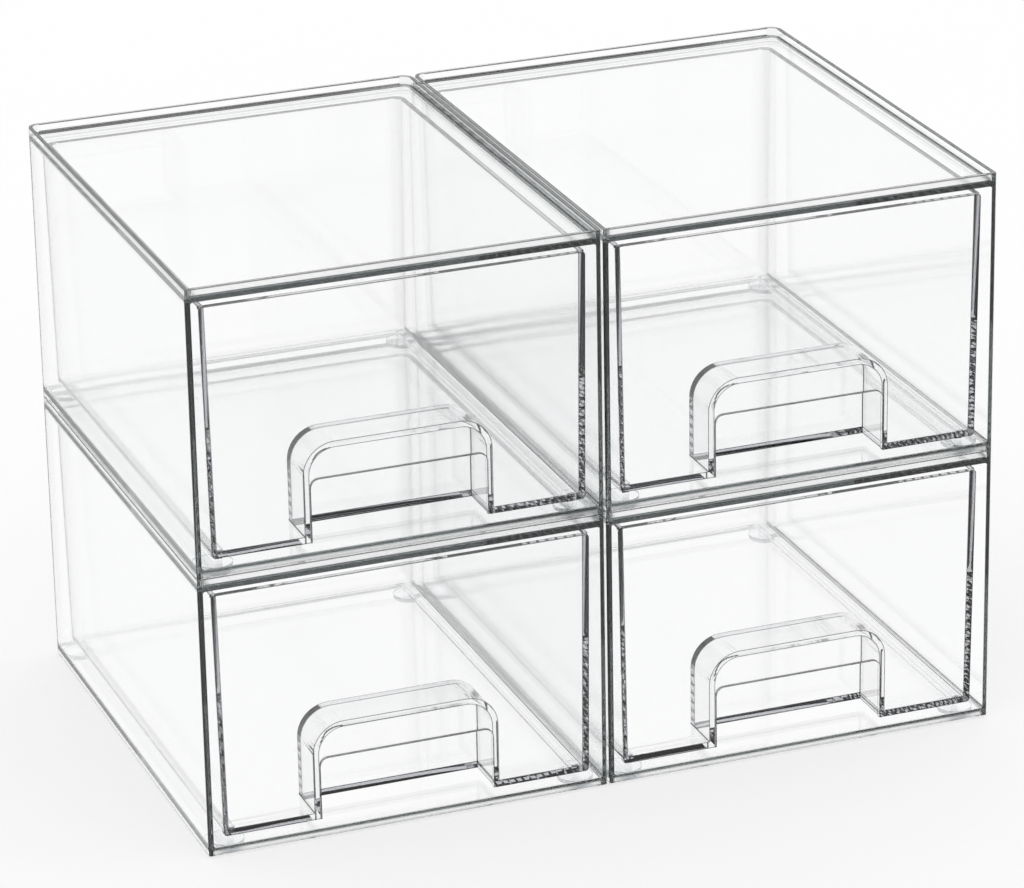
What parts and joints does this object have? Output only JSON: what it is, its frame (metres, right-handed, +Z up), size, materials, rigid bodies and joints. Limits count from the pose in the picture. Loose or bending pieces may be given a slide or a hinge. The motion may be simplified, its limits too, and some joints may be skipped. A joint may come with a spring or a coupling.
{
  "type": "stackable storage drawers",
  "caption": "Clear open-fronted cases stacked in two columns, each with a clear drawer that slides out by an arched finger pull and soft feet that sit inside the rim below.",
  "frame": {"origin": "centre of the arrangement's footprint, on the surface that the lower feet stand on", "axes": "+Z up, -Y out of the front where the drawers slide, +X to the right seen from the front"},
  "size_m": [0.331, 0.213, 0.2326],
  "materials": {
    "case_clear_plastic": "clear polished plastic",
    "drawer_clear_plastic": "clear polished plastic",
    "foot_clear_rubber": "clear soft rubber"
  },
  "bodies": {
    "lower_left_case": {"lower_left_case": "case_clear_plastic", "lower_left_front_left_foot": "foot_clear_rubber", "lower_left_front_right_foot": "foot_clear_rubber", "lower_left_back_left_foot": "foot_clear_rubber", "lower_left_back_right_foot": "foot_clear_rubber"},
    "lower_left_drawer": {"lower_left_drawer": "drawer_clear_plastic"},
    "lower_right_case": {"lower_right_case": "case_clear_plastic", "lower_right_front_left_foot": "foot_clear_rubber", "lower_right_front_right_foot": "foot_clear_rubber", "lower_right_back_left_foot": "foot_clear_rubber", "lower_right_back_right_foot": "foot_clear_rubber"},
    "lower_right_drawer": {"lower_right_drawer": "drawer_clear_plastic"},
    "upper_left_case": {"upper_left_case": "case_clear_plastic", "upper_left_front_left_foot": "foot_clear_rubber", "upper_left_front_right_foot": "foot_clear_rubber", "upper_left_back_left_foot": "foot_clear_rubber", "upper_left_back_right_foot": "foot_clear_rubber"},
    "upper_left_drawer": {"upper_left_drawer": "drawer_clear_plastic"},
    "upper_right_case": {"upper_right_case": "case_clear_plastic", "upper_right_front_left_foot": "foot_clear_rubber", "upper_right_front_right_foot": "foot_clear_rubber", "upper_right_back_left_foot": "foot_clear_rubber", "upper_right_back_right_foot": "foot_clear_rubber"},
    "upper_right_drawer": {"upper_right_drawer": "drawer_clear_plastic"}
  },
  "joints": [
    {"name": "lower_left_drawer_slide", "type": "slide", "parent": "lower_left_case", "child": "lower_left_drawer", "axis": [0, -1, 0], "range_m": [0, 0.17]},
    {"name": "lower_right_drawer_slide", "type": "slide", "parent": "lower_right_case", "child": "lower_right_drawer", "axis": [0, -1, 0], "range_m": [0, 0.17]},
    {"name": "upper_left_drawer_slide", "type": "slide", "parent": "upper_left_case", "child": "upper_left_drawer", "axis": [0, -1, 0], "range_m": [0, 0.17]},
    {"name": "upper_right_drawer_slide", "type": "slide", "parent": "upper_right_case", "child": "upper_right_drawer", "axis": [0, -1, 0], "range_m": [0, 0.17]},
    {"name": "upper_left_lift_off", "type": "slide", "parent": "lower_left_case", "child": "upper_left_case", "axis": [0, 0, 1], "range_m": [0, 0.12]},
    {"name": "upper_right_lift_off", "type": "slide", "parent": "lower_right_case", "child": "upper_right_case", "axis": [0, 0, 1], "range_m": [0, 0.12]},
    {"name": "right_column_apart", "type": "slide", "parent": "lower_left_case", "child": "lower_right_case", "axis": [1, 0, 0], "range_m": [0, 0.1]}
  ]
}
